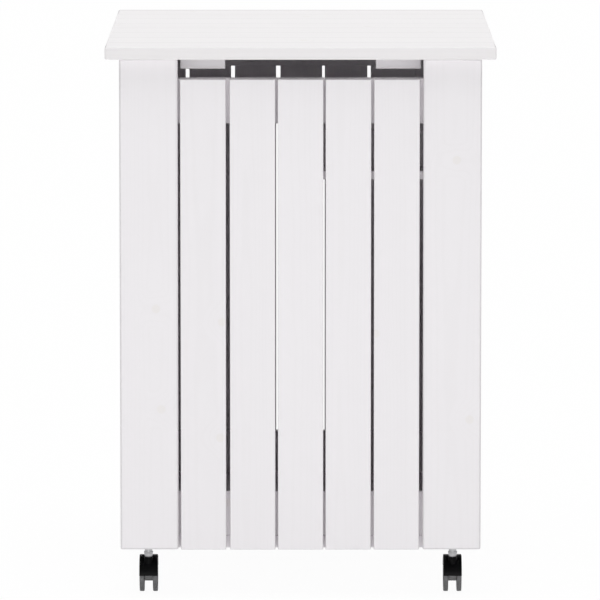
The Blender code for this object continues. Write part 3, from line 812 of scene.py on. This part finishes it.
def hood_shape(axle):
    """The T-shaped section, spun over the axle, and its foot spun on until it meets the start."""
    shape = new_shape()
    out = Vector((0, math.cos(ROOF_START), math.sin(ROOF_START)))
    ring = []
    for x, radius in (
        (-HALF_WIDTH, ROOF_RADIUS), (HALF_WIDTH, ROOF_RADIUS), (HALF_WIDTH, ROOF_INSIDE),
        (WEB_HALF, ROOF_INSIDE), (WEB_HALF, CORE_RADIUS), (-WEB_HALF, CORE_RADIUS),
        (-WEB_HALF, ROOF_INSIDE), (-HALF_WIDTH, ROOF_INSIDE),
        (WEB_HALF, AXLE_BORE), (-WEB_HALF, AXLE_BORE),
    ):
        ring.append(shape.verts.new(axle + out * radius + Vector((x, 0, 0))))
    roof = shape.faces.new(ring[:8])
    foot = shape.faces.new([ring[4], ring[8], ring[9], ring[5]])
    section = [roof, foot] + in_order([*roof.edges, *foot.edges]) + ring
    about_axle = {"cent": axle, "axis": (1, 0, 0)}
    over = ROOF_END - ROOF_START
    roofed = bmesh.ops.spin(shape, geom=section, angle=over, steps=ROOF_STEPS, **about_axle)
    faces = [item for item in roofed["geom_last"] if isinstance(item, bmesh.types.BMFace)]
    last_foot = next(face for face in faces if len(face.verts) == 4)
    section = [last_foot, *last_foot.edges, *last_foot.verts]
    bmesh.ops.spin(shape, geom=section, angle=TURN - over, steps=CORE_STEPS, **about_axle)
    bmesh.ops.remove_doubles(shape, verts=shape.verts, dist=WELD)

    across_start = Vector((0, -math.sin(ROOF_START), math.cos(ROOF_START)))
    closed_in = []
    for face in shape.faces:
        places = [point.co - axle for point in face.verts]
        on_start = all(abs(place.dot(across_start)) < HAIR for place in places)
        if on_start and all(place.dot(out) < CORE_RADIUS + HAIR for place in places):
            closed_in.append(face)
    bmesh.ops.delete(shape, geom=closed_in, context="FACES_ONLY")
    bmesh.ops.recalc_face_normals(shape, faces=shape.faces)
    return shape


def place_from(shape, centre):
    """Keeps each point's place from a centre in the grain attribute, for rings and seams."""
    layer = shape.verts.layers.float_vector["grain"]
    for point in shape.verts:
        point[layer] = point.co - centre


for corner_name, axis in stem_axes.items():
    axle = axle_of(axis)
    hood = hood_shape(axle)
    rim = []
    for edge in square_edges(hood.verts):
        places = [point.co - axle for point in edge.verts]
        on_side = all(abs(abs(place.x) - HALF_WIDTH) < FINE_ARRIS / 2 for place in places)
        if on_side and all(place.yz.length > ROOF_INSIDE + FINE_ARRIS for place in places):
            rim.append(edge)
    round_edges(hood, rim, ROOF_ARRIS)
    round_edges(hood, square_edges(hood.verts, HOOD_ANGLE), FINE_ARRIS / 2, FINE_STEPS)
    centre = (BOSS_RADIUS - BOSS_EASE, BOSS_TOP - BOSS_EASE)
    boss = [(0, BOSS_TOP)] + curve_points(centre, BOSS_EASE, 90, 0, BOSS_EASE_STEPS)
    boss += [(BOSS_RADIUS, BOSS_FOOT), (0, BOSS_FOOT)]
    turned(hood, boss, BOSS_STEPS, Matrix.Translation((axis.x, axis.y, 0)))
    open_edges = [edge for edge in hood.edges if len(edge.link_faces) != 2]
    place_from(hood, axle)
    stand_in("caster_hood_" + corner_name, hood)
print(len(stem_axes), "hoods, open edges on the last one:", len(open_edges))

# %% [markdown]
# ## The twin wheels
#
# Each wheel is a dished disc with a raised rim, a shallow ring and a small cap over its axle. The
# tread is flat with rounded shoulders. Both wheels and the axle are one turned profile, because
# the solid that they stand for turns as one.

# %% Turn the wheels
WHEEL_RADIUS = (wheel_high.z - wheel_low.z) / 2
WHEEL_OUTER = (wheel_high.x - wheel_low.x) / 2
WHEEL_INNER = WEB_HALF + TOUCH
AXLE_RADIUS = 0.003
SHOULDER, SHOULDER_STEPS, WHEEL_STEPS = 0.0014, 5, 56
# The wheel's outer face, as pairs of radius and depth in mm: the cap, the ring and the raised rim.
CAP = [(0, 0.7), (2.2, 0.75), (3.6, 1.0), (4.3, 1.5), (4.4, 1.9), (5.4, 1.9), (5.8, 1.5)]
RING = [(9.5, 1.35), (10.0, 1.6), (10.8, 1.6), (11.3, 1.35)]
RIM = [(17.6, 1.1), (18.6, 0.8), (19.2, 0.25), (19.9, 0)]


def wheel_profile():
    """Radius and height pairs from the middle of the outer face round the tread to the axle."""
    face = [(radius / 1000, WHEEL_OUTER - depth / 1000) for radius, depth in CAP + RING + RIM]
    tread = WHEEL_RADIUS - SHOULDER
    outside = curve_points((tread, WHEEL_OUTER - SHOULDER), SHOULDER, 90, 0, SHOULDER_STEPS)
    inside = curve_points((tread, WHEEL_INNER + SHOULDER), SHOULDER, 0, -90, SHOULDER_STEPS)
    return face + outside + inside + [(AXLE_RADIUS, WHEEL_INNER)]


for corner_name, axis in stem_axes.items():
    axle = axle_of(axis)
    right = wheel_profile()
    left = [(radius, -height) for radius, height in reversed(right)]
    wheels = new_shape()
    place = Matrix.Translation(axle) @ Matrix.Rotation(math.pi / 2, 4, "Y")
    turned(wheels, right + left, WHEEL_STEPS, place)
    place_from(wheels, axle)
    stand_in("caster_wheels_" + corner_name, wheels)
print(len(stem_axes), "pairs of wheels,", WHEEL_RADIUS * 2000, "mm across")

# %% [markdown]
# ## The door's pivots and the screws
#
# A flat plate under the post and a small bent bracket above the door each hold a pin. The slats
# are screwed to their rails and battens from inside, two screws to each crossing. A screw head is
# a twelve-sided turned disc whose recess is pulled in to a hexagon, the socket of furniture screws.

# %% Drive the screws
HEAD_RADIUS, HEAD_PROUD, HEAD_EASE, HEAD_SIDES = 0.0036, 0.0006, 0.0003, 12
SOCKET_RADIUS, SOCKET_DEPTH = 0.0019, 0.0012
SCREW_SPREAD = 0.032  # between the two screws of a crossing


def drive_screw(shape, place, facing):
    """A flat screw head with a hexagonal socket, at a place on a surface, facing outwards."""
    profile = [(0, HEAD_PROUD - SOCKET_DEPTH), (SOCKET_RADIUS, HEAD_PROUD - SOCKET_DEPTH)]
    profile += [(SOCKET_RADIUS, HEAD_PROUD), (HEAD_RADIUS - HEAD_EASE, HEAD_PROUD)]
    profile += [(HEAD_RADIUS, HEAD_PROUD / 2), (HEAD_RADIUS, -HEAD_PROUD), (0, -2 * HEAD_PROUD)]
    made = turned(shape, profile, HEAD_SIDES)
    side_angle = TURN / HEAD_SIDES
    for point in made:
        side = round(math.atan2(point.co.y, point.co.x) / side_angle)
        if abs(point.co.xy.length - SOCKET_RADIUS) < HAIR and side % 2:
            point.co.xy *= math.cos(side_angle)
    turn = Vector((0, 0, 1)).rotation_difference(facing).to_matrix().to_4x4()
    bmesh.ops.transform(shape, matrix=Matrix.Translation(place) @ turn, verts=made)


def screw_crossings(shape, slats, rails, facing):
    """Two screws where each rail crosses each slat, on the rail's inner face. Returns how many."""
    count = 0
    inward = 1 if facing.y else 0
    across = 1 - inward
    for rail in rails:
        rail_low, rail_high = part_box(rail)
        surface = rail_high[inward] if facing[inward] > 0 else rail_low[inward]
        for slat in slats:
            slat_low, slat_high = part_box(slat)
            for offset in (-SCREW_SPREAD / 2, SCREW_SPREAD / 2):
                place = Vector((0, 0, (rail_low.z + rail_high.z) / 2 + offset))
                place[across] = (slat_low[across] + slat_high[across]) / 2
                place[inward] = surface
                drive_screw(shape, place, facing)
                count += 1
    return count


frame_screws = new_shape()
count = 0
SLATTED_SIDES = (("front", 5, (0, 1, 0)), ("rear", 5, (0, -1, 0)), ("side", 6, (1, 0, 0)))
for side, slat_count, facing in SLATTED_SIDES:
    slats = [f"{side}_slat_{number}" for number in range(1, slat_count + 1)]
    rails = (f"{side}_top_rail", f"{side}_bottom_rail")
    count += screw_crossings(frame_screws, slats, rails, Vector(facing))
finish_piece("frame_screws", frame_screws, "zinc_steel", "carcass")

door_screws = new_shape()
door_slats = [f"door_slat_{number}" for number in range(1, 7)]
door_battens = ("door_batten_lower", "door_batten_upper")
door_count = screw_crossings(door_screws, door_slats, door_battens, Vector((-1, 0, 0)))
finish_piece("door_screws", door_screws, "zinc_steel", "door")
print(count, "screws in the frame and", door_count, "in the door")

# %% Bend and pin the door's pivots
PLATE, PLATE_ARRIS, PLATE_STEPS, BEND_RADIUS = 0.002, 0.0004, 3, 0.0022
PIN_RADIUS, PIN_LENGTH, PIN_INSET, PIN_STEPS = 0.0024, 0.012, 0.008, 24
PLATE_SCREWS = (0.010, 0.026)  # from the plate's rear end
LEAF_SCREW_LIFT = 0.004  # above the middle of the bracket's upright leaf


def pin_on(shape, x, y, root, tip):
    """A turned pin from a plate to its tip, with its tip eased."""
    length = abs(tip - root)
    profile = [(0, length), (PIN_RADIUS - EASE, length), (PIN_RADIUS, length - EASE)]
    profile += [(PIN_RADIUS, 0), (0, 0)]
    upright = Matrix.Scale(1 if tip > root else -1, 4, (0, 0, 1))
    turned(shape, profile, PIN_STEPS, Matrix.Translation((x, y, root)) @ upright)


low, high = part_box("door_hinge_lower")
pivot_x, pivot_y = (low.x + high.x) / 2, low.y + PIN_INSET
lower_pivot = new_shape()
box_between(lower_pivot, low, Vector((high.x, high.y, low.z + PLATE)))
round_edges(lower_pivot, square_edges(lower_pivot.verts), PLATE_ARRIS, PLATE_STEPS)
pin_on(lower_pivot, pivot_x, pivot_y, low.z + PLATE / 2, high.z)
for reach in PLATE_SCREWS:
    drive_screw(lower_pivot, Vector((pivot_x, high.y - reach, low.z)), Vector((0, 0, -1)))
stand_in("door_hinge_lower", lower_pivot)

low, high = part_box("door_hinge_upper")
foot = low.z + PIN_LENGTH
upper_pivot = new_shape()
bend = [(low.y, foot), (high.y, foot), (high.y, high.z), (high.y - PLATE, high.z)]
bend += [(high.y - PLATE, foot + PLATE), (low.y, foot + PLATE)]
outline_solid(upper_pivot, bend, low.x, high.x, 0)
edges = square_edges(upper_pivot.verts)
outer_bend = [edge for edge in edges if all_near(edge, 1, high.y) and all_near(edge, 2, foot)]
round_edges(upper_pivot, outer_bend, BEND_RADIUS)
round_edges(upper_pivot, square_edges(upper_pivot.verts), PLATE_ARRIS, PLATE_STEPS)
pin_on(upper_pivot, pivot_x, pivot_y, foot + PLATE / 2, low.z)
screw_height = (foot + PLATE + high.z) / 2 + LEAF_SCREW_LIFT
drive_screw(upper_pivot, Vector((pivot_x, high.y - PLATE, screw_height)), Vector((0, -1, 0)))
stand_in("door_hinge_upper", upper_pivot)
print("pivots at", round(pivot_x, 4), round(pivot_y, 4))

# %% [markdown]
# ## The floor
#
# The photograph is a product picture on pure white, with hardly any shadow. The white could come
# from more light, but that would wash the cart's edges out. Here it comes from what the camera
# sees: to the camera and to mirrors the floor is plain white, with a faint share of its real
# shadow mixed in, and to the rest of the light it is a matt sheet of paper.

# %% Lay the floor
FLOOR_HALF = 30
FLOOR_TONE = (0.95, 0.95, 0.95, 1)
SHADOW_SHARE = 0.04


def white_where_seen(finish):
    """1 where the camera looks, straight or by way of a mirror or a pane, and 0 for other light."""
    seen, mirrored, passed = (
        finish.node("LightPath", {}, {}, output=f"Is {kind} Ray")
        for kind in ("Camera", "Glossy", "Transmission")
    )
    return finish.maths("MINIMUM", seen + mirrored + passed, 1.0)


floor_shape = bmesh.new()
bmesh.ops.create_grid(floor_shape, x_segments=1, y_segments=1, size=FLOOR_HALF)
floor_mesh = bpy.data.meshes.new("floor")
floor_shape.to_mesh(floor_mesh)
floor_shape.free()
floor = bpy.data.objects.new("floor", floor_mesh)
bpy.context.scene.collection.objects.link(floor)

matt = {"Base Color": FLOOR_TONE, "Roughness": 0.9, "Specular IOR Level": 0.0}
paper = Finish("white_floor", matt)
white = paper.node("Emission", {}, {"Color": (1, 1, 1, 1), "Strength": 1.0})
share = white_where_seen(paper) * (1 - SHADOW_SHARE)
lit = Wire(paper, paper.shader.outputs[0])
mixed = paper.node("MixShader", {}, {0: share, 1: lit, 2: white})
paper.tree.links.new(mixed.socket, paper.tree.nodes["Material Output"].inputs["Surface"])
floor.data.materials.append(paper.material)
print("floor laid, it shows", SHADOW_SHARE, "of its shadow")

# %% [markdown]
# ## The light
#
# The light in the photograph is soft and comes from all round. The sky gives that. A wide sun
# above lights the tabletop most, and a low panel in front lights the slats evenly down to their
# feet, which a lamp overhead wouldn't, because the tabletop overhangs them. The inside is dark
# between the slats, and what shows of it is light that has bounced off many boards, so the bounces
# are raised to ten and one faint lamp helps them there.

# %% Light the room
SKY_LEVEL = 0.46
BOUNCES = 10
room = Finish("white_room", {"Color": (1, 1, 1, 1)}, bpy.data.worlds.new("white_room"))
bpy.context.scene.world = room.material
seen = white_where_seen(room)
room.put(room.shader.inputs["Strength"], seen * (1 - SKY_LEVEL) + SKY_LEVEL)


def add_lamp(name, kind, energy, place, target, **settings):
    """A lamp that shines from a place towards a target and isn't seen itself."""
    lamp = bpy.data.lights.new(name, kind)
    lamp.energy = energy
    for setting, value in settings.items():
        setattr(lamp, setting, value)
    thing = bpy.data.objects.new(name, lamp)
    thing.location = place
    thing.rotation_euler = (Vector(target) - Vector(place)).to_track_quat("-Z", "Y").to_euler()
    thing.visible_camera = False
    bpy.context.scene.collection.objects.link(thing)


add_lamp(
    "top_light", "SUN", energy=1.58, place=(0, -0.4, 4.0), target=(0, 0, 0), angle=math.radians(60),
)
add_lamp(
    "front_light", "AREA", energy=13.2, place=(0, -3.2, 0.35), target=(0, 0, 0.35),
    shape="RECTANGLE", size=1.4, size_y=0.7,
)
add_lamp(
    "inside_light", "POINT", energy=0.01, place=(0, 0, 0.3), target=(0, 0, 0), shadow_soft_size=0.1,
)
bpy.context.scene.cycles.diffuse_bounces = BOUNCES
bpy.context.scene.view_settings.view_transform = "Standard"
print("sky at", SKY_LEVEL, "with lamps above, in front and inside")
